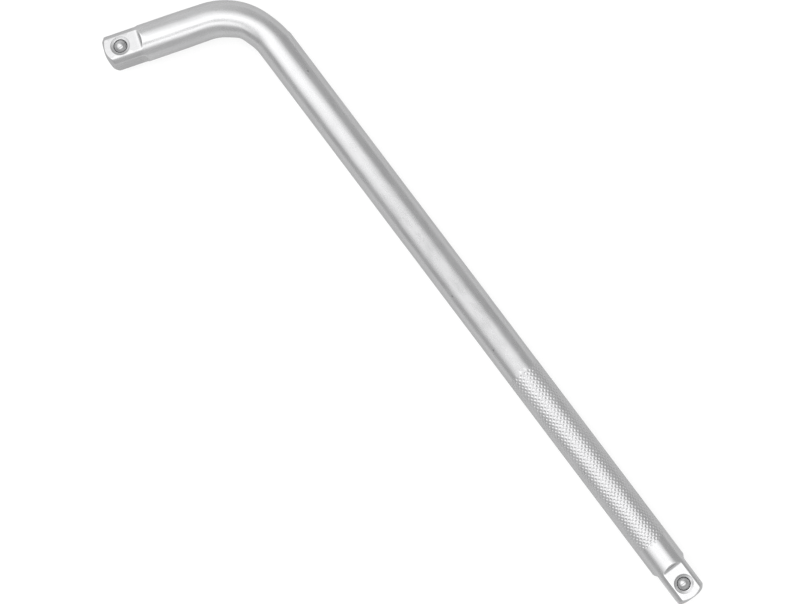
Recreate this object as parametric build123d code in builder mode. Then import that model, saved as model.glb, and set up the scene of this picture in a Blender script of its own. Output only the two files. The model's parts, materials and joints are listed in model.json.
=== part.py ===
from build123d import *
import os
from math import cos, pi, radians, sin, sqrt, tan

os.makedirs("parts", exist_ok=True)

# An L-handle for sockets: one round steel bar, bent once, with a square drive milled on each end.
# A ball in each drive, pressed out by a coil spring behind it, holds the socket on.
# The handle lies flat with both balls about upwards. X runs along the long arm to its tip, and the short arm
# leaves the bend towards -Y. The origin is under the middle of the handle's box, on what it lies on.

# Bar
bar_diameter = 15.1
long_arm_length = 300.0
short_arm_length = 61.1
included_angle = 108.1
bend_radius = 25.3
short_shank_diameter = 15.4
swell_length = 10.0

# Square drive, the same at both ends, with its corners left round
across_flats = 12.7
corner_circle_diameter = 15.4
drive_length = 14.6
shoulder_run = 2.8
shoulder_rim_rise = 0.12
tip_chamfer = 1.9
tip_crown = 0.5
tip_crown_radius = 5.85
tip_edge_rounding = 0.5
corner_end_rounding = 0.8
long_drive_twist = -1.4
short_drive_twist = 12.0

# Catch ball, and the blind hole whose rim is staked over it
ball_diameter = 5.56
ball_stand_out = 1.2
ball_to_tip = 7.3
ball_running_clearance = 0.1
stake_diameter = 8.0
stake_depth = 0.35
lip_top_depth = 0.7
lip_edge_depth = 0.8
lip_clearance = 0.05
hole_depth = 9.0
drill_point_angle = 118.0

# Catch spring
wire_diameter = 0.6
coil_mean_diameter = 4.2
coil_turns = 4.5
seat_clearance = 0.05

# Making
overrun = 2.0
full_turn = 360.0
drive_sides = 4
arcs_per_turn = 4
gap_samples_per_turn = 48

# Worked out from the sizes above
bar_radius = bar_diameter / 2
half_flats = across_flats / 2
corner_radius = corner_circle_diameter / 2
bend_angle = full_turn / 2 - included_angle
bend_reach = bend_radius * tan(radians(bend_angle / 2))
ball_radius = ball_diameter / 2
ball_centre_depth = ball_radius - ball_stand_out
hole_radius = ball_radius + ball_running_clearance
lip_radius = sqrt(ball_radius ** 2 - (ball_centre_depth - lip_edge_depth) ** 2) + lip_clearance
wire_radius = wire_diameter / 2
coil_radius = coil_mean_diameter / 2
drill_point_lean = radians(drill_point_angle / 2)

# One row for each arm: name, heading from X, twist of its drive, length and shank diameter
arms = (
    ("long_end", 0, long_drive_twist, long_arm_length, bar_diameter),
    ("short_end", -included_angle, short_drive_twist, short_arm_length, short_shank_diameter),
)


def arm_plane(heading, turn):
    """The plane through an arm's axis: x from the corner to the tip, y out of the flat at that turn."""
    along = Axis.X.direction.rotate(Axis.Z, heading)
    out_of_flat = Axis.Z.direction.rotate(Axis((0, 0, 0), along), turn)
    return Plane(origin=(0, 0, 0), x_dir=along, z_dir=along.cross(out_of_flat))


def catch_plane(arm, length):
    """The plane of the ball's flat: its origin is where the ball's axis meets the flat, z points out."""
    return Plane(
        origin=arm.from_local_coords((length - ball_to_tip, half_flats, 0)),
        x_dir=arm.x_dir,
        z_dir=arm.y_dir,
    )


def section_of(catch):
    """The plane through the ball's axis, in which x is a radius and y a height above the flat."""
    return Plane(origin=catch.origin, x_dir=catch.x_dir, z_dir=-catch.y_dir)


# The bar is first made about the corner where the centrelines of its arms cross
with BuildPart() as bar_at_corner:
    with BuildSketch(Plane.YZ.offset(bend_reach)):
        Circle(bar_radius)
    revolve(axis=Axis((bend_reach, -bend_radius, 0), Axis.Z.direction), revolution_arc=bend_angle)

    for end_name, heading, twist, length, shank_diameter in arms:
        arm = arm_plane(heading, twist)
        shoulder_foot = length - drive_length
        shoulder_top = shoulder_foot - shoulder_run
        crown_rim = (length - tip_crown, tip_crown_radius)

        # Shank and drive as turned, with the tip's cone and its slightly domed end, before milling
        with BuildSketch(arm):
            with BuildLine():
                Polyline(
                    (bend_reach, 0),
                    (bend_reach, bar_radius),
                    (bend_reach + swell_length, shank_diameter / 2),
                    (shoulder_top, shank_diameter / 2),
                    (shoulder_foot, corner_radius),
                    (length - tip_chamfer, corner_radius),
                    crown_rim,
                )
                TangentArc((length, 0), crown_rim, tangent=(0, 1))
                Line((length, 0), (bend_reach, 0))
            make_face()
            fillet(vertices().sort_by_distance(crown_rim)[0], tip_edge_rounding)
            fillet(vertices().sort_by_distance((length - tip_chamfer, corner_radius))[0], corner_end_rounding)
        revolve(axis=Axis(arm.origin, arm.x_dir))

    for end_name, heading, twist, length, shank_diameter in arms:
        shoulder_foot = length - drive_length
        shoulder_top = shoulder_foot - shoulder_run
        rim_height = shank_diameter / 2 + shoulder_rim_rise
        middle = ((shoulder_foot + shoulder_top) / 2, (half_flats + rim_height) / 2)

        # Flats, each running out at the shoulder in a hollow and then a rounded edge
        for side in range(drive_sides):
            with BuildSketch(arm_plane(heading, twist + side * full_turn / drive_sides)):
                with BuildLine():
                    TangentArc((shoulder_foot, half_flats), middle, tangent=(-shoulder_run, 0))
                    TangentArc((shoulder_top, rim_height), middle, tangent=(shoulder_run, 0))
                    Polyline(
                        (shoulder_top, rim_height),
                        (shoulder_top, rim_height + overrun),
                        (length + overrun, rim_height + overrun),
                        (length + overrun, half_flats),
                        (shoulder_foot, half_flats),
                    )
                make_face()
            extrude(amount=rim_height + overrun, both=True, mode=Mode.SUBTRACT)

        # Ball hole, with the punched ring around it and the lip that keeps the ball in
        catch = catch_plane(arm_plane(heading, twist), length)
        with BuildSketch(section_of(catch)):
            with BuildLine():
                Polyline(
                    (0, overrun),
                    (stake_diameter / 2, overrun),
                    (stake_diameter / 2, 0),
                    (hole_radius, -stake_depth),
                    (lip_radius, -lip_top_depth),
                    (lip_radius, -lip_edge_depth),
                    (hole_radius, -lip_edge_depth - (hole_radius - lip_radius)),
                    (hole_radius, -hole_depth),
                    (0, -hole_depth - hole_radius / tan(drill_point_lean)),
                    close=True,
                )
            make_face()
        revolve(axis=Axis(catch.origin, catch.z_dir), mode=Mode.SUBTRACT)

bar_box = bar_at_corner.part.bounding_box()
corner = Vector(-bar_box.center().X, -bar_box.center().Y, -bar_box.min.Z)

with BuildPart() as handle_bar:
    add(bar_at_corner.part.moved(Location(corner)))
handle_bar.part.label = "handle_bar"
export_step(handle_bar.part, "parts/handle_bar.step")

# The spring stands between the slope at the bottom of its hole and the ball's underside
seat_height = -hole_depth - (hole_radius - coil_radius) / tan(drill_point_lean)
coil_foot = seat_height + (wire_radius + seat_clearance) / sin(drill_point_lean)
coil_head = -ball_centre_depth - sqrt((ball_radius + wire_radius + seat_clearance) ** 2 - coil_radius ** 2)
coil_rise = (coil_head - coil_foot) / coil_turns


def on_coil(turns):
    """The wire's centre at so many turns from its foot, in the catch plane, and the way it runs there."""
    angle = 2 * pi * turns
    centre = Vector(coil_radius * cos(angle), coil_radius * sin(angle), coil_foot + coil_rise * turns)
    way = Vector(-coil_radius * sin(angle), coil_radius * cos(angle), coil_rise / (2 * pi))
    return centre, way.normalized()


def coil_arcs():
    """The coil as pairs of arcs, a pair for each part of a turn: start, joint, end and both ways."""
    for step in range(round(coil_turns * arcs_per_turn)):
        start, start_way = on_coil(step / arcs_per_turn)
        finish, finish_way = on_coil((step + 1) / arcs_per_turn)
        chord = finish - start
        both_ways = start_way + finish_way
        spread = 1 - start_way.dot(finish_way)
        reach = chord.dot(both_ways)
        reach = (sqrt(reach ** 2 + 2 * spread * chord.dot(chord)) - reach) / (2 * spread)
        first_corner = start + start_way * reach
        last_corner = finish - finish_way * reach
        yield start, start_way, (first_corner + last_corner) / 2, last_corner - first_corner, finish


sample_count = round(coil_turns * gap_samples_per_turn)
samples = [on_coil(step / gap_samples_per_turn)[0] for step in range(sample_count)]
coil_gap = min(
    (samples[low] - samples[high]).length
    for low in range(sample_count)
    for high in range(low + gap_samples_per_turn // 2, sample_count)
) - wire_diameter
print(f"catch spring: {coil_turns} turns, least gap to itself {coil_gap:.3f} mm")

for end_name, heading, twist, length, shank_diameter in arms:
    catch = catch_plane(arm_plane(heading, twist), length)
    catch = Plane(origin=catch.origin + corner, x_dir=catch.x_dir, z_dir=catch.z_dir)

    with BuildPart(catch.offset(-ball_centre_depth)) as ball:
        Sphere(ball_radius)
    ball.part.label = f"{end_name}_ball"
    export_step(ball.part, f"parts/{end_name}_ball.step")

    with BuildPart() as spring:
        with BuildLine() as wire:
            for start, start_way, joint, joint_way, finish in coil_arcs():
                start, joint, finish = (catch.from_local_coords(place) for place in (start, joint, finish))
                start_way, joint_way = (
                    catch.from_local_coords(way) - catch.origin for way in (start_way, joint_way)
                )
                TangentArc(start, joint, tangent=start_way)
                TangentArc(joint, finish, tangent=joint_way)
        path = wire.wires()[0]
        with BuildSketch(Plane(origin=path @ 0, z_dir=path % 0)):
            Circle(wire_radius)
        sweep(path=path)
    spring.part.label = f"{end_name}_spring"
    export_step(spring.part, f"parts/{end_name}_spring.step")

    print(f"{end_name}: ball's axis leaves the flat at {catch.origin}, along {catch.z_dir}")
print(f"the arms' centrelines cross at {corner}")
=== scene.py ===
import json
from math import asin, atan, atan2, cos, degrees, exp, pi, radians, sin, sqrt, tan

import bmesh
import bpy
from mathutils import Matrix, Vector, noise


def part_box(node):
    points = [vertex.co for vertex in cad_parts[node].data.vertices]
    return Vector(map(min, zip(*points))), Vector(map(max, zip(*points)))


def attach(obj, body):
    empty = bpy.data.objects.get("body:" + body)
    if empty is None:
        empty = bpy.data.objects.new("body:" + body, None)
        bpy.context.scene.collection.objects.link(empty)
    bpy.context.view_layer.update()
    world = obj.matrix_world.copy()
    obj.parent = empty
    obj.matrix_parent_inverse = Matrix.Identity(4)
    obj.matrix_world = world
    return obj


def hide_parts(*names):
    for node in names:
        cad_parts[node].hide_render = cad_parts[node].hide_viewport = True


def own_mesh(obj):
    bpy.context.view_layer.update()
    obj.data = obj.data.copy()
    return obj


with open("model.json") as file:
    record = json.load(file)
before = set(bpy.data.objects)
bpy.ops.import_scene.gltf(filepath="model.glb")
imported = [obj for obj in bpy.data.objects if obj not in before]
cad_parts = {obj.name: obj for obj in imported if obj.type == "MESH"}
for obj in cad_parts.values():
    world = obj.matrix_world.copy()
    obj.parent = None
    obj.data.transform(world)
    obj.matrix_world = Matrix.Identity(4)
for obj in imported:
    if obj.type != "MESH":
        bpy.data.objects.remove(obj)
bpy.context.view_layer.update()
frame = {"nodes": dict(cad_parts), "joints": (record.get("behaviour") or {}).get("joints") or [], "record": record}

# An L-handle for sockets, in satin chrome: one round bar, bent once, with a square drive and a
# sprung ball at each end, and diamond knurling near the end of the long arm.
# The bar's axes and radius, the flats' directions and the balls come from the frame.
# Sizes are in metres and angles in radians, except where a name says degrees.

mounts = {mount["name"]: mount for mount in frame["record"]["mounts"]}
joints = {joint["name"]: joint for joint in frame["joints"]}
mm_per_metre = 1000
bar_radius = mounts["long_shank"]["dims"]["r_mm"] / mm_per_metre

# Bar
bend_radius = 0.0253
short_shank_radius = 0.0077
swell_length = 0.010

# Square drive, the same at both ends
half_flats = 0.00635
corner_radius = 0.0077
drive_length = 0.0146
shoulder_run = 0.0028
shoulder_rim_rise = 0.00012
tip_chamfer = 0.0019
tip_crown = 0.0005
tip_crown_radius = 0.00585
tip_edge_rounding = 0.0005
corner_end_rounding = 0.0008
edge_rounding = 0.00016

# Hole of a catch ball, with the punched ring round it and the lip that keeps the ball in
punch_radius = 0.004
punch_guard = 0.00012
punch_step = 0.00008
punch_slope_end = 0.0032
punch_depth = 0.00022
lip_start_depth = 0.00034
hole_radius = 0.00288
lip_radius = 0.00272
lip_top_depth = 0.0007
lip_edge_depth = 0.0008
hole_depth = 0.009
drill_half_angle = radians(59)
hole_edge_softness = 0.00004
# The punched ring is duller; the hole and its lip are painted lighter, painted light that lightens the shade round
# the ball
lip_painted_light = 4.0
punch_dullness = 1.6

# Catch spring
wire_radius = 0.0003
coil_radius = 0.0021
coil_turns = 4.5
seat_clearance = 0.00005

# Knurling: pits between raised lines that cross at 45 degrees, level with the bar
knurl_start = 0.1851
knurl_length = 0.0872
pits_around = 23
pit_pitch_along = 0.00202
pit_depth = 0.00024
pit_roundness = 0.25
land_share = 0.26
knurl_fade = 0.0006
knurl_wear = 0.00002
knurl_wear_patches = 300
# How unevenly the pits are pressed: patches to a metre, and the share of their depth
pit_unevenness = ((160, 0.25), (700, 0.12))

# How far the bar strays from its true shape, all of it inwards
forging_depth = 0.00004
forging_grain = 0.011
forging_stretch = 2
forging_level = 0.5
# Waves of the forging: how many to a grain, and the share of its depth
forging_waves = ((2, 0.5), (5, 0.2))
bend_outer_flat = 0.0006
bend_inner_crease = 0.00054
# Where the bend is pressed, in degrees from its middle, and how far that reaches
outer_flat_degrees = (21, 24)
inner_crease_degrees = (2, 12)
press_narrowness = 3
lean_depth = 0.00035
lean_end = 0.030
lean_fade_end = 0.062
# Each tip is ground back towards one side: which side, how far at the bar's side, and how suddenly
tip_cuts = {"long": (1, 0.0020, 4), "short": (-1, 0.0016, 1.5)}
tip_cut_start = 0.0023
tip_cut_fade = 0.0050

# Mesh steps. The drive's rings begin a lead before its shoulder
steps_per_pit = 8
columns = pits_around * steps_per_pit
quarter = columns // 4
flat_steps = 4 * steps_per_pit
shank_step = 0.0013
bend_step = 0.0008
drive_step = 0.0003
shoulder_lead = 2 * drive_step
arc_steps = 6
tip_rings = 5
patch_half_length = 0.0045
wire_steps = 12
coil_steps_per_turn = 36

up = Vector((0, 0, 1))
half_flat_width = sqrt(corner_radius ** 2 - half_flats ** 2)
corner_angle = atan2(half_flat_width, half_flats)


def crossing(first, second):
    """Where the axes of two mounts cross, seen from above."""
    start, way = Vector(first["pos_m"]), Vector(first["axis"])
    gap, other_way = Vector(second["pos_m"]) - start, Vector(second["axis"])
    return start + way * (gap.cross(other_way).z / way.cross(other_way).z)


corner = crossing(mounts["long_drive"], mounts["short_drive"])


class Arm:
    """One arm of the L. The bar is followed from the short tip to the long one, forward is that way."""

    def __init__(self, name, sense):
        drive = mounts[f"{name}_drive"]
        self.name = name
        self.sense = sense
        self.tip = Vector(drive["pos_m"])
        self.length = (self.tip - corner).length
        self.along = Vector(drive["axis"]).normalized()
        self.side = up.cross(self.along * sense)
        self.flat_normal = -Vector(joints[f"{name}_catch_press"]["axis"]).normalized()
        self.twist = atan2(self.flat_normal.dot(self.side), self.flat_normal.dot(up))
        low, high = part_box(f"{name}_end_ball")
        self.ball_centre = (low + high) / 2
        self.ball_radius = (high.z - low.z) / 2
        self.ball_to_tip = self.length - (self.ball_centre - corner).dot(self.along)

    def at(self, distance):
        """The point of the axis at a distance from the corner."""
        return corner + self.along * distance

    def straightened(self, place):
        """The same place on the bar as it was before it was bent, about the corner."""
        offset = place - corner
        return Vector((offset.dot(self.along) * self.sense, offset.dot(self.side), offset.dot(up)))


long_arm = Arm("long", 1)
short_arm = Arm("short", -1)
bend_angle = short_arm.side.angle(long_arm.side)
bend_reach = bend_radius * tan(bend_angle / 2)


def mix(low, high, share):
    """The value at that share of the way from low to high."""
    return low + (high - low) * share


def smooth(share):
    """An even rise from 0 to 1 with level ends."""
    share = min(max(share, 0), 1)
    return share * share * (3 - 2 * share)


def spread(low, high, step):
    """Even places from low up to, but not including, high."""
    count = max(1, round(abs(high - low) / step))
    return [mix(low, high, index / count) for index in range(count)]


def hump(place, centre, width):
    """A smooth hump, 1 at its centre and nearly 0 a width away."""
    return exp(-2 * ((place - centre) / width) ** 2)


def round_min(first, second, rounding):
    """The lesser of two, with the corner where they meet rounded off."""
    near = max(rounding - abs(first - second), 0) / rounding
    return min(first, second) - near * near * rounding / 4


class Skin:
    """The bar's surface: points, faces, and the rings of points from the short tip to the long one.

    Each point also keeps its place on the straightened bar, how deep it lies in a pit, and how bright
    it is worn, 1 at a worn edge and less than 0 where it is dull; in a ball's hole and on its lip this value is
    painted light, well above 1, which lightens the shade round the ball."""

    def __init__(self):
        self.points = []
        self.straight = []
        self.recess = []
        self.edge = []
        self.faces = []
        self.rings = []

    def point(self, place, straight, recess=0.0, edge=0.0):
        self.points.append(place)
        self.straight.append(straight)
        self.recess.append(recess)
        self.edge.append(edge)
        return len(self.points) - 1

    def ring(self, centre, side, run, angles, reach):
        """A ring about a centre, where reach(column, angle) gives the radius, the recess and the edge."""
        ring = []
        for column, angle in enumerate(angles):
            radius, recess, edge = reach(column, angle)
            across, above = radius * sin(angle), radius * cos(angle)
            straight = Vector((run, across, above))
            ring.append(self.point(centre + side * across + up * above, straight, recess, edge))
        self.rings.append(ring)

    def band(self, first, second, left_open=()):
        """Faces between two loops of points, apart from the columns that are left open."""
        for column in range(len(first)):
            if column not in left_open:
                after = (column + 1) % len(first)
                self.faces.append((first[column], second[column], second[after], first[after]))

    def fan(self, ring, centre, straight):
        """Faces from a ring to one point."""
        middle = self.point(centre, straight)
        for column, index in enumerate(ring):
            self.faces.append((index, ring[(column + 1) % len(ring)], middle))


skin = Skin()


def column_angles(squareness, twist):
    """The angle of each column of points about the bar, from straight up towards its side.

    Where squareness is 1 the columns keep to the edges of the flats, and at 0 they are even."""
    angles = []
    for column in range(columns):
        quadrant, place = divmod(column + flat_steps // 2, quarter)
        if place <= flat_steps:
            lean = atan((2 * place / flat_steps - 1) * half_flat_width / half_flats)
        else:
            lean = mix(corner_angle, pi / 2 - corner_angle, (place - flat_steps) / (quarter - flat_steps))
        even = 2 * pi * column / columns
        angles.append(mix(even, quadrant * pi / 2 + lean, squareness) + twist)
    return angles


def forged(straight):
    """How far the forged and polished surface lies below its true shape."""
    grain = Vector((straight.x / forging_stretch, straight.y, straight.z)) / forging_grain
    waves = sum(share * noise.noise(grain * count) for count, share in forging_waves)
    return forging_depth * max(0, forging_level + waves)


def leaning(run, angle):
    """How much the bar's section, pushed over a little by the bending, gains or lacks of its radius."""
    depth = lean_depth * (1 - smooth((abs(run) - lean_end) / (lean_fade_end - lean_end)))
    return depth * sin(angle) * cos(angle) ** 2 * abs(cos(angle))


def plain_reach(run, turned_radius):
    """The radius all round a plain stretch, with the unevenness of its surface."""
    def reach(column, angle):
        straight = Vector((run, bar_radius * sin(angle), bar_radius * cos(angle)))
        return turned_radius - leaning(run, angle) - forged(straight), 0.0, 0.0
    return reach


def shoulder_hollow(rim_height):
    """The radius of the two arcs by which a flat climbs to its shoulder's rim."""
    rise = rim_height - half_flats
    return (shoulder_run ** 2 + rise ** 2) / (4 * rise)


def flat_height(from_tip, rim_height):
    """The height of a flat above the bar's axis, that far from the tip."""
    climb = min(max(from_tip - drive_length, 0), shoulder_run)
    hollow = shoulder_hollow(rim_height)
    if climb <= shoulder_run / 2:
        return half_flats + hollow - sqrt(hollow ** 2 - climb ** 2)
    return rim_height - hollow + sqrt(hollow ** 2 - (shoulder_run - climb) ** 2)


def shoulder_outline(shank_radius):
    """Distances from the tip and turned radii, from the end of the shank to the foot of the shoulder."""
    hollow = shoulder_hollow(shank_radius + shoulder_rim_rise)
    top = drive_length + shoulder_run
    steepest = asin(shoulder_run / 2 / hollow)
    leans = [steepest * index / arc_steps for index in range(arc_steps + 1)]
    places = [top + shoulder_lead, top + drive_step]
    places += [top - hollow * sin(lean) for lean in leans]
    places += [drive_length + hollow * sin(lean) for lean in reversed(leans[:-1])]
    shares = [min((place - drive_length) / shoulder_run, 1) for place in places]
    return [(place, mix(corner_radius, shank_radius, share)) for place, share in zip(places, shares)]


def turned_corner(from_tip, radius, rounding, lean_before, lean_after):
    """Points round a corner of the turned profile, where its lean to the bar's axis grows."""
    back = rounding * tan((lean_after - lean_before) / 2)
    middle = from_tip + back * cos(lean_before) + rounding * sin(lean_before)
    middle_radius = radius + back * sin(lean_before) - rounding * cos(lean_before)
    leans = [mix(lean_before, lean_after, index / arc_steps) for index in range(arc_steps + 1)]
    return [(middle - rounding * sin(lean), middle_radius + rounding * cos(lean)) for lean in leans]


def tip_outline():
    """The same for the tip: the rounded end of the corners, the cone, its rounded edge and the domed end."""
    dome = (tip_crown_radius ** 2 + tip_crown ** 2) / (2 * tip_crown)
    cone_lean = atan2(corner_radius - tip_crown_radius, tip_chamfer - tip_crown)
    dome_lean = pi / 2 - asin(tip_crown_radius / dome)
    outline = turned_corner(tip_chamfer, corner_radius, corner_end_rounding, 0, cone_lean)
    edge = turned_corner(tip_crown, tip_crown_radius, tip_edge_rounding, cone_lean, dome_lean)
    cone_start, cone_end = outline[-1], edge[0]
    for share in spread(0, 1, 1 / (2 * arc_steps))[1:]:
        outline.append((mix(cone_start[0], cone_end[0], share), mix(cone_start[1], cone_end[1], share)))
    radii = [edge[-1][1] * (1 - index / tip_rings) for index in range(1, tip_rings)]
    return outline + edge + [(dome - sqrt(dome ** 2 - radius ** 2), radius) for radius in radii]


def tip_cut(arm, from_tip, across):
    """How far a point of the drive is moved back from the tip, because the tip is ground askew."""
    side, depth, power = tip_cuts[arm.name]
    share = max(side * across, 0) / corner_radius
    return depth * share ** power * (1 - smooth((from_tip - tip_cut_start) / tip_cut_fade))


def drive(arm, shank_radius):
    """A drive's rings and tip. Returns the numbers of the rings where the patch round its ball lies."""
    patch_start = arm.ball_to_tip + patch_half_length
    patch_end = arm.ball_to_tip - patch_half_length
    tip = tip_outline()
    outline = shoulder_outline(shank_radius)
    outline += [(place, corner_radius) for place in spread(drive_length, patch_start, drive_step)[1:]]
    patch = [len(outline), len(outline) + flat_steps]
    outline += [(mix(patch_start, patch_end, step / flat_steps), corner_radius) for step in range(flat_steps)]
    outline += [(place, corner_radius) for place in spread(patch_end, tip[0][0], drive_step)]
    outline += tip
    if arm.sense < 0:
        outline.reverse()
        patch = [len(outline) - 1 - place for place in reversed(patch)]

    angles = column_angles(1, arm.twist)
    first = len(skin.rings)
    for from_tip, turned_radius in outline:
        height = flat_height(from_tip, shank_radius + shoulder_rim_rise)
        on_shoulder = min(max((from_tip - drive_length) / shoulder_run, 0), 1)
        distance = arm.length - from_tip
        run = distance * arm.sense

        def reach(column, angle):
            turned = turned_radius
            if on_shoulder > 0:
                straight = Vector((run, bar_radius * sin(angle), bar_radius * cos(angle)))
                turned -= (leaning(run, angle) + forged(straight)) * on_shoulder
            lean = (angle - arm.twist + pi / 4) % (pi / 2) - pi / 4
            flat = height / cos(lean)
            edge = max(0, 1 - abs(turned - flat) / (2 * edge_rounding))
            return round_min(turned, flat, edge_rounding), 0.0, edge

        skin.ring(arm.at(distance), arm.side, run, angles, reach)
        for index in skin.rings[-1]:
            cut = tip_cut(arm, from_tip, skin.straight[index].y)
            skin.points[index] -= arm.along * cut

    end_ring = skin.rings[-1 if arm.sense > 0 else first]
    skin.fan(end_ring, arm.tip, arm.straightened(arm.tip))
    return first + patch[0], first + patch[1]


def short_shank():
    """The short arm's shank, which swells a little from the bend to its drive's shoulder."""
    start = short_arm.length - drive_length - shoulder_run - shoulder_lead - drive_step
    places = spread(start, bend_reach, shank_step)
    for index, place in enumerate(places):
        squareness = 1 - smooth(index / len(places))
        angles = column_angles(squareness, short_arm.twist * squareness)
        turned_radius = mix(bar_radius, short_shank_radius, min((place - bend_reach) / swell_length, 1))
        skin.ring(short_arm.at(place), short_arm.side, -place, angles, plain_reach(-place, turned_radius))


def bend():
    """The bend, pressed a little flat on the long arm's half of its outside, and creased inside."""
    centre = long_arm.at(bend_reach) - long_arm.side * bend_radius
    angles = column_angles(0, 0)
    for turned in spread(0, bend_angle, bend_step / bend_radius):
        side = Matrix.Rotation(-turned, 3, "Z") @ short_arm.side
        run = mix(-bend_reach, bend_reach, turned / bend_angle)
        place = degrees(turned - bend_angle / 2)
        outer_press = bend_outer_flat * hump(place, *outer_flat_degrees)
        inner_press = bend_inner_crease * hump(place, *inner_crease_degrees)

        def reach(column, angle):
            across = sin(angle)
            straight = Vector((run, bar_radius * across, bar_radius * cos(angle)))
            press = outer_press * max(across, 0) ** press_narrowness
            press += inner_press * max(-across, 0) ** press_narrowness
            return bar_radius - press - leaning(run, angle) - forged(straight), 0.0, 0.0

        skin.ring(centre + side * bend_radius, side, run, angles, reach)


def long_shank():
    """The long arm from the bend to its knurling."""
    angles = column_angles(0, 0)
    for place in spread(bend_reach, knurl_start, shank_step):
        skin.ring(long_arm.at(place), long_arm.side, place, angles, plain_reach(place, bar_radius))


def from_line(step):
    """How far a step lies from the nearest raised line, as a share of the way to a pit's middle."""
    over = step % steps_per_pit
    return min(over, steps_per_pit - over) / (steps_per_pit / 2)


def pit_share(ring, column):
    """How deep a point of the knurling lies, as a share of a pit's depth."""
    away = min(from_line(ring + column), from_line(ring - column))
    share = max(0, (away - land_share) / (1 - land_share))
    return share * (1 + pit_roundness - pit_roundness * share)


def knurling():
    """The knurled stretch, in rings a small part of a pit apart. Returns its first and last ring."""
    angles = column_angles(0, 0)
    ring_step = pit_pitch_along / steps_per_pit
    last = round(knurl_length / ring_step)
    first_ring = len(skin.rings)
    for index in range(last + 1):
        place = knurl_start + index * ring_step
        fade = smooth(min(index, last - index) * ring_step / knurl_fade)

        def reach(column, angle):
            straight = Vector((place, bar_radius * sin(angle), bar_radius * cos(angle)))
            pressed = 1 + sum(part * noise.noise(straight * count) for count, part in pit_unevenness)
            share = pit_share(index, column) * fade
            worn = knurl_wear * (1 + noise.noise(straight * knurl_wear_patches)) / 2
            return bar_radius - pit_depth * pressed * share - worn, share, 0.0

        skin.ring(long_arm.at(place), long_arm.side, place, angles, reach)
    return first_ring, first_ring + last


def long_end(start):
    """The long arm's plain end, from its knurling to its drive's shoulder."""
    stop = long_arm.length - drive_length - shoulder_run - shoulder_lead
    places = spread(start, stop, shoulder_lead)[1:]
    for index, place in enumerate(places):
        squareness = smooth((index + 1) / len(places))
        angles = column_angles(squareness, long_arm.twist * squareness)
        skin.ring(long_arm.at(place), long_arm.side, place, angles, plain_reach(place, bar_radius))


def knurled_band(number):
    """Faces from a knurled ring to the next, cut along the raised lines."""
    first, second = skin.rings[knurl_first + number], skin.rings[knurl_first + number + 1]
    for column in range(columns):
        after = (column + 1) % columns
        corners = (first[column], second[column], second[after], first[after])
        if from_line(number + column + 1) < from_line(number - column):
            corners = corners[1:] + corners[:1]
        skin.faces.append((corners[0], corners[1], corners[2]))
        skin.faces.append((corners[0], corners[2], corners[3]))


def hole_outline():
    """Radii and depths of a ball's hole, from the punched ring to the drill's point, corners cut."""
    drill_point = hole_depth + (hole_radius - seat_clearance) / tan(drill_half_angle)
    outline = [
        (punch_radius + punch_guard, 0),
        (punch_radius, 0),
        (punch_radius - punch_step, punch_step),
        (punch_slope_end, punch_depth),
        (hole_radius, lip_start_depth),
        (lip_radius, lip_top_depth),
        (lip_radius, lip_edge_depth),
        (hole_radius, lip_edge_depth + hole_radius - lip_radius),
        (hole_radius, hole_depth),
        (seat_clearance, drill_point),
    ]
    softened = [outline[0]]
    for before, here, after in zip(outline, outline[1:], outline[2:]):
        here = Vector(here)
        for other in (before, after):
            away = Vector(other) - here
            softened.append(here + away.normalized() * min(hole_edge_softness, away.length / 3))
    return softened + [outline[-1]]


def ball_patch(arm, first, last):
    """Fills the square that the rings leave open on the ball's flat, round the ball's hole."""
    half = flat_steps // 2
    rings = skin.rings[first:last + 1]
    loop = [rings[0][column] for column in range(-half, half)]
    loop += [ring[half] for ring in rings[:-1]]
    loop += [rings[-1][column] for column in range(half, -half, -1)]
    loop += [ring[-half] for ring in rings[:0:-1]]

    normal = arm.flat_normal
    across = normal.cross(arm.along)
    middle = arm.ball_centre - normal * ((arm.ball_centre - corner).dot(normal) - half_flats)
    headings = []
    for index in loop:
        offset = skin.points[index] - middle
        headings.append(atan2(offset.dot(across), offset.dot(arm.along)))
    for radius, depth in hole_outline():
        # Duller on the punched ring; in the hole and on its lip, painted light that lightens the shade round the
        # ball
        dull = smooth(depth / punch_step) * punch_dullness
        dullness_and_painted_light = mix(-dull, lip_painted_light, smooth((depth - punch_depth) / (lip_start_depth - punch_depth)))
        ring = []
        for heading in headings:
            place = middle + (arm.along * cos(heading) + across * sin(heading)) * radius - normal * depth
            ring.append(skin.point(place, arm.straightened(place), 0.0, dullness_and_painted_light))
        skin.band(loop, ring)
        loop = ring
    bottom = middle - normal * (hole_depth + hole_radius / tan(drill_half_angle))
    skin.fan(loop, bottom, arm.straightened(bottom))


def mesh_object(name, points, faces):
    """A smooth-shaded piece with all its faces turned outwards."""
    mesh = bpy.data.meshes.new(name)
    mesh.from_pydata(points, [], faces)
    made = bmesh.new()
    made.from_mesh(mesh)
    bmesh.ops.recalc_face_normals(made, faces=made.faces)
    made.to_mesh(mesh)
    made.free()
    mesh.polygons.foreach_set("use_smooth", [True] * len(mesh.polygons))
    piece = bpy.data.objects.new(name, mesh)
    bpy.context.scene.collection.objects.link(piece)
    return piece


def store(piece, name, kind, values):
    """Keeps a value for each point of the piece, for its material to read."""
    attribute = piece.data.attributes.new(name, kind, "POINT")
    attribute.data.foreach_set("vector" if kind == "FLOAT_VECTOR" else "value", values)


# The bar, ring by ring from the short tip to the long one, and then its faces
short_patch = drive(short_arm, short_shank_radius)
short_shank()
bend()
long_shank()
knurl_first, knurl_last = knurling()
long_end(skin.straight[skin.rings[knurl_last][0]].x)
long_patch = drive(long_arm, bar_radius)

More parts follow.
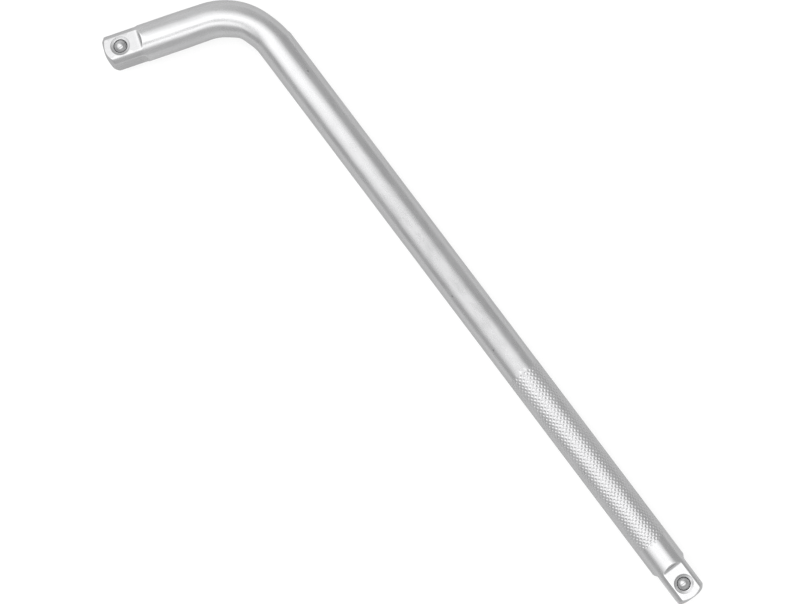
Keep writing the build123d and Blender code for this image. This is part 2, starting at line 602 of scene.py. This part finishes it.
ball_columns = {column % columns for column in range(-flat_steps // 2, flat_steps // 2)}
for number, (first, second) in enumerate(zip(skin.rings, skin.rings[1:])):
    if knurl_first <= number < knurl_last:
        knurled_band(number - knurl_first)
    elif short_patch[0] <= number < short_patch[1] or long_patch[0] <= number < long_patch[1]:
        skin.band(first, second, ball_columns)
    else:
        skin.band(first, second)
ball_patch(short_arm, *short_patch)
ball_patch(long_arm, *long_patch)

bar = mesh_object("bar", skin.points, skin.faces)
store(bar, "straight", "FLOAT_VECTOR", [part for place in skin.straight for part in place])
store(bar, "recess", "FLOAT", skin.recess)
store(bar, "edge", "FLOAT", skin.edge)
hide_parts("handle_bar")
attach(bar, "handle")


def spring(arm):
    """The coil spring between the slope at the bottom of the hole and the underside of the ball."""
    normal = arm.flat_normal
    ahead = arm.along
    across = normal.cross(ahead)
    flat = half_flats - (arm.ball_centre - corner).dot(normal)
    seat = flat - hole_depth - (hole_radius - coil_radius) / tan(drill_half_angle)
    foot = seat + (wire_radius + seat_clearance) / sin(drill_half_angle)
    head = -sqrt((arm.ball_radius + wire_radius + seat_clearance) ** 2 - coil_radius ** 2)

    steps = round(coil_turns * coil_steps_per_turn)
    pitch = (head - foot) / coil_turns
    slope = Vector((coil_radius, pitch / (2 * pi))).normalized()
    points, faces = [], []
    for step in range(steps + 1):
        turned = 2 * pi * step / coil_steps_per_turn
        outward = ahead * cos(turned) + across * sin(turned)
        onward = across * cos(turned) - ahead * sin(turned)
        rise = normal * slope.x - onward * slope.y
        centre = arm.ball_centre + outward * coil_radius + normal * mix(foot, head, step / steps)
        for part in range(wire_steps):
            lean = 2 * pi * part / wire_steps
            points.append(centre + (outward * cos(lean) + rise * sin(lean)) * wire_radius)
    for start in range(0, steps * wire_steps, wire_steps):
        for part in range(wire_steps):
            after = (part + 1) % wire_steps
            faces.append((start + part, start + after, start + wire_steps + after, start + wire_steps + part))
    faces.append(range(wire_steps))
    faces.append(range(steps * wire_steps, (steps + 1) * wire_steps))

    piece = mesh_object(f"{arm.name}_coil", points, faces)
    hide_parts(f"{arm.name}_end_spring")
    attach(piece, "handle")
    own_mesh(piece)
    return piece


springs = [spring(long_arm), spring(short_arm)]


# Materials. Patches are counted to a metre, along the bar and across it, with the detail of their noise.
# Noise is taken from its low mark to its high one
noise_low, noise_high = 0.3, 0.7
noise_roughness = 0.6
cool = 1.01

chrome_dull, chrome_bright = 0.41, 0.47
chrome_smooth, chrome_rough = 0.23, 0.31
chrome_edge_tint = 0.72
mottle_patches, mottle_detail, mottle_share = (110, 260, 260), 4.0, 0.6
streak_patches, streak_detail, streak_share = (45, 900, 900), 3.0, 0.4
grain_patches, grain_detail, grain_contrast = (4200, 5200, 5200), 2.0, 0.04
# Knurl pits are painted lighter, a painted sheen for the light that the knurling scatters, and are rougher
pit_painted_sheen, pit_roughening = 0.08, 0.06
# How much brighter and smoother a point is for its wear value, which in the balls' holes is painted light
shine_per_wear_and_painted_light, wear_polish = 0.12, 0.06
# The short drive is painted darker, painted shade for the dimmer light that its flats reflect
short_drive_painted_shade, short_drive_painted_shade_edge = 0.9, 0.001
pore_cells, pore_rarity, pore_shade = (110, 170, 170), 0.72, 0.55
pore_core, pore_rim = 0.03, 0.075
grain_height, streak_height = 0.35, 0.5
chrome_bump, chrome_bump_height = 0.5, 0.000012

ball_dull, ball_bright = 0.36, 0.44
ball_smooth, ball_rough = 0.03, 0.09
ball_cloud_patches, ball_cloud_detail = (900, 900, 900), 3.0
scuff_patches, scuff_detail, scuff_low = (9000, 700, 900), 2.0, 0.35
ball_bump, ball_bump_height = 0.3, 0.000004

wire_dull, wire_bright = 0.22, 0.34
wire_smooth, wire_rough = 0.25, 0.45
draw_patches, draw_detail = (1200, 1200, 6000), 3.0
wire_bump, wire_bump_height = 0.4, 0.00001


def feed(tree, socket, value):
    """Sets a socket to a number or a vector, or links another socket to it."""
    if isinstance(value, bpy.types.NodeSocket):
        tree.links.new(value, socket)
    else:
        socket.default_value = value


def wire_up(tree, kind, settings=(), **inputs):
    """Adds a shader node. An input is a number, a vector, or a socket that is linked to it."""
    made = tree.nodes.new("ShaderNode" + kind)
    for name, value in dict(settings).items():
        setattr(made, name, value)
    for name, value in inputs.items():
        feed(tree, made.inputs[name.replace("_", " ")], value)
    return made


def operate(tree, kind, operation, first, second):
    """A Math or VectorMath node of two inputs."""
    made = wire_up(tree, kind, {"operation": operation})
    feed(tree, made.inputs[0], first)
    feed(tree, made.inputs[1], second)
    return made.outputs[0]


def arithmetic(tree, operation, first, second):
    """A number worked out from two others."""
    return operate(tree, "Math", operation, first, second)


def remap(tree, value, low, high, from_low=0.0, from_high=1.0):
    """The value stretched from one range to another, and kept inside it."""
    made = wire_up(
        tree, "MapRange", Value=value, From_Min=from_low, From_Max=from_high, To_Min=low, To_Max=high
    )
    return made.outputs["Result"]


def remap_noise(tree, value, low, high):
    """Noise stretched to a range."""
    return remap(tree, value, low, high, noise_low, noise_high)


def patches(tree, place, count, detail):
    """Cloudy noise, with so many patches to a metre each way."""
    scaled = operate(tree, "VectorMath", "MULTIPLY", place, count)
    made = wire_up(tree, "TexNoise", Vector=scaled, Scale=1.0, Detail=detail, Roughness=noise_roughness)
    return made.outputs["Fac"]


def metal(name):
    """A new metal material: its tree and its surface shader."""
    material = bpy.data.materials.new(name)
    material.use_nodes = True
    surface = material.node_tree.nodes["Principled BSDF"]
    surface.inputs["Metallic"].default_value = 1.0
    return material, material.node_tree, surface


def tint(tree, level):
    """A grey of that level, a shade cooler than neutral."""
    blue = arithmetic(tree, "MULTIPLY", level, cool)
    made = wire_up(tree, "CombineColor", Red=level, Green=level, Blue=blue)
    return made.outputs[0]


def finish_metal(tree, surface, level, roughness, height, strength, distance):
    """Links a metal's grey, its roughness and the relief of its finish to its shader."""
    tree.links.new(tint(tree, level), surface.inputs["Base Color"])
    tree.links.new(roughness, surface.inputs["Roughness"])
    bump = wire_up(tree, "Bump", Height=height, Strength=strength, Distance=distance)
    tree.links.new(bump.outputs["Normal"], surface.inputs["Normal"])


def satin_chrome():
    """Satin chrome over forged and polished steel, brighter where it is worn, with a painted sheen in the knurl's
    pits, painted light in the balls' holes and painted shade on the short drive.
    """
    material, tree, surface = metal("satin_chrome_bar")
    place = wire_up(tree, "Attribute", {"attribute_name": "straight"}).outputs["Vector"]
    recess = wire_up(tree, "Attribute", {"attribute_name": "recess"}).outputs["Fac"]
    edge = wire_up(tree, "Attribute", {"attribute_name": "edge"}).outputs["Fac"]
    mottle = patches(tree, place, mottle_patches, mottle_detail)
    streaks = patches(tree, place, streak_patches, streak_detail)
    grain = patches(tree, place, grain_patches, grain_detail)

    # A few small pores, each a dot in its own cell
    cells = operate(tree, "VectorMath", "MULTIPLY", place, pore_cells)
    pores = wire_up(tree, "TexVoronoi", Vector=cells, Scale=1.0)
    rare = wire_up(tree, "SeparateColor", Color=pores.outputs["Color"]).outputs[0]
    dot = remap(tree, pores.outputs["Distance"], 1.0, 0.0, pore_core, pore_rim)
    pore = arithmetic(tree, "MULTIPLY", dot, arithmetic(tree, "GREATER_THAN", rare, pore_rarity))

    # The short arm's drive is painted darker: painted shade for the dimmer light that its flats reflect
    run = wire_up(tree, "SeparateXYZ", Vector=place).outputs["X"]
    drive_end = drive_length - short_arm.length
    drive_ends = (drive_end - short_drive_painted_shade_edge, drive_end + short_drive_painted_shade_edge)

    mottle_part = arithmetic(tree, "MULTIPLY", mottle, mottle_share)
    streak_part = arithmetic(tree, "MULTIPLY", streaks, streak_share)
    blend = arithmetic(tree, "ADD", mottle_part, streak_part)
    level = remap_noise(tree, blend, chrome_dull, chrome_bright)
    # Worn edges shine and the punched ring is duller; the value in the holes and on their lips is painted light
    wear_and_painted_light_span = (-punch_dullness, lip_painted_light)
    shades = (
        remap_noise(tree, grain, 1 - grain_contrast, 1 + grain_contrast),
        remap(tree, recess, 1.0, 1 + pit_painted_sheen),
        remap(tree, edge, *(1 + worn * shine_per_wear_and_painted_light for worn in wear_and_painted_light_span), *wear_and_painted_light_span),
        remap(tree, run, short_drive_painted_shade, 1.0, *drive_ends),
        remap(tree, pore, 1.0, pore_shade),
    )
    for shade in shades:
        level = arithmetic(tree, "MULTIPLY", level, shade)

    rough = remap_noise(tree, mottle, chrome_smooth, chrome_rough)
    rough = arithmetic(tree, "ADD", rough, remap(tree, recess, 0.0, pit_roughening))
    rough = arithmetic(tree, "SUBTRACT", rough, remap(tree, edge, 0.0, wear_polish))
    grain_part = arithmetic(tree, "MULTIPLY", grain, grain_height)
    streak_part = arithmetic(tree, "MULTIPLY", streaks, streak_height)
    height = arithmetic(tree, "SUBTRACT", arithmetic(tree, "ADD", grain_part, streak_part), pore)
    finish_metal(tree, surface, level, rough, height, chrome_bump, chrome_bump_height)
    surface.inputs["Specular Tint"].default_value = (chrome_edge_tint, chrome_edge_tint, chrome_edge_tint, 1)
    return material


def polished_ball():
    """Hard polished steel with fine scuffs from the sockets."""
    material, tree, surface = metal("polished_ball")
    place = wire_up(tree, "TexCoord").outputs["Object"]
    clouds = patches(tree, place, ball_cloud_patches, ball_cloud_detail)
    scuffs = patches(tree, place, scuff_patches, scuff_detail)
    level = remap_noise(tree, clouds, ball_dull, ball_bright)
    rough = remap(tree, scuffs, ball_smooth, ball_rough, scuff_low, noise_high)
    finish_metal(tree, surface, level, rough, scuffs, ball_bump, ball_bump_height)
    return material


def drawn_wire():
    """Dark drawn spring wire."""
    material, tree, surface = metal("drawn_wire")
    place = wire_up(tree, "TexCoord").outputs["Object"]
    draws = patches(tree, place, draw_patches, draw_detail)
    level = remap_noise(tree, draws, wire_dull, wire_bright)
    rough = remap_noise(tree, draws, wire_smooth, wire_rough)
    finish_metal(tree, surface, level, rough, draws, wire_bump, wire_bump_height)
    return material


bar.data.materials.append(satin_chrome())
wire_material = drawn_wire()
for piece in springs:
    piece.data.materials.append(wire_material)
ball_material = polished_ball()
for arm in (long_arm, short_arm):
    for material_slot in frame["nodes"][f"{arm.name}_end_ball"].material_slots:
        material_slot.material = ball_material


# Camera: straight above the handle, turned so that the long arm runs down to the right
camera_from_corner = Vector((0.13339, -0.02203, 0.975))
camera_turn = radians(52.97)
photo_width = 805
pixels_per_metre_at_axis = 2460
sensor_width = 36.0
camera_reach = 50

camera = bpy.data.objects.new("camera", bpy.data.cameras.new("camera"))
camera.data.sensor_width = sensor_width
camera.data.lens = sensor_width * pixels_per_metre_at_axis * camera_from_corner.z / photo_width
camera.data.clip_end = camera_reach
camera.location = corner + camera_from_corner
camera.rotation_euler = (0, 0, camera_turn)
bpy.context.scene.collection.objects.link(camera)
bpy.context.scene.camera = camera

# Studio: a round soft light overhead, with a dim slot in it that runs across the long arm. The walls are
# pale, and brighter at both ends of X, and the pale floor also glows, as a light table does.
light_height = 1.15
light_middle = (-0.75, -0.45)
light_size = (3.7, 3.6)
light_radiance = 1.78
# Each fade: where it starts, where it ends, and the share of light left there
left_dip = (-0.3, -0.85, 0.84)
left_fade = (-1.3, -3.2, 0.0)
right_fade = (0.35, 1.0, 0.0)
near_fade = (-0.45, -2.3, 0.0)
far_fade = (0.28, 1.25, 0.0)
far_fade_slant = 0.3
slot_half_width, slot_softness, slot_level = 0.15, 0.03, 0.25
slot_glow, slot_glow_end = 1.12, 0.6
wall_shade = 0.75
side_wall_gain = 0.35
left_wall_gain = 0.1
floor_size = 12.0
floor_shade = 0.25
floor_roughness = 0.9
floor_gloss = 0.2
floor_glow = 0.74


def soft_light():
    """A large round lamp that fades on every side. It is dim along a slot over the middle of the long arm,
    and a little brighter than elsewhere beside the slot."""
    lamp = bpy.data.lights.new("soft_light", "AREA")
    lamp.shape = "ELLIPSE"
    lamp.size, lamp.size_y = light_size
    lamp_area = pi / 4 * lamp.size * lamp.size_y
    lamp.energy = light_radiance * pi * lamp_area
    lamp.use_nodes = True
    tree = lamp.node_tree
    place = wire_up(tree, "SeparateXYZ", Vector=wire_up(tree, "NewGeometry").outputs["Position"])
    away = arithmetic(tree, "ABSOLUTE", place.outputs["X"], 0.0)
    slot_edge = (slot_half_width - slot_softness, slot_half_width + slot_softness)
    strength = remap(tree, away, slot_level, 1.0, *slot_edge)
    glow = remap(tree, away, slot_glow, 1.0, slot_half_width, slot_glow_end)
    strength = arithmetic(tree, "MULTIPLY", strength, glow)
    slant = arithmetic(tree, "MULTIPLY", place.outputs["X"], -far_fade_slant)
    far = arithmetic(tree, "ADD", place.outputs["Y"], slant)
    fades = (
        (place.outputs["X"], left_dip),
        (place.outputs["X"], left_fade),
        (place.outputs["X"], right_fade),
        (place.outputs["Y"], near_fade),
        (far, far_fade),
    )
    for value, (start, end, left_there) in fades:
        strength = arithmetic(tree, "MULTIPLY", strength, remap(tree, value, 1.0, left_there, start, end))
    tree.links.new(strength, tree.nodes["Emission"].inputs["Strength"])
    made = bpy.data.objects.new("soft_light", lamp)
    made.location = (*light_middle, light_height)
    bpy.context.scene.collection.objects.link(made)


def walls():
    """Pale light from all round."""
    world = bpy.data.worlds.new("walls")
    world.use_nodes = True
    tree = world.node_tree
    side = wire_up(tree, "SeparateXYZ", Vector=wire_up(tree, "TexCoord").outputs["Generated"]).outputs["X"]
    both = arithmetic(tree, "MULTIPLY", arithmetic(tree, "MULTIPLY", side, side), side_wall_gain)
    left = arithmetic(tree, "MULTIPLY", side, -left_wall_gain)
    shade = arithmetic(tree, "ADD", arithmetic(tree, "ADD", both, left), wall_shade)
    tree.links.new(shade, tree.nodes["Background"].inputs["Strength"])
    tree.nodes["Background"].inputs["Color"].default_value = (1, 1, 1, 1)
    bpy.context.scene.world = world


soft_light()
walls()
bpy.context.scene.view_settings.view_transform = "Standard"

half_floor = floor_size / 2
floor_corners = [(x * half_floor, y * half_floor, 0) for x, y in ((-1, -1), (1, -1), (1, 1), (-1, 1))]
floor = mesh_object("floor", floor_corners, [(0, 1, 2, 3)])
floor_material = bpy.data.materials.new("floor")
floor_material.use_nodes = True
floor_surface = floor_material.node_tree.nodes["Principled BSDF"]
floor_surface.inputs["Base Color"].default_value = (floor_shade, floor_shade, floor_shade, 1)
floor_surface.inputs["Roughness"].default_value = floor_roughness
floor_surface.inputs["Specular IOR Level"].default_value = floor_gloss
floor_surface.inputs["Emission Color"].default_value = (1, 1, 1, 1)
floor_surface.inputs["Emission Strength"].default_value = floor_glow
floor.data.materials.append(floor_material)

bpy.context.view_layer.update()
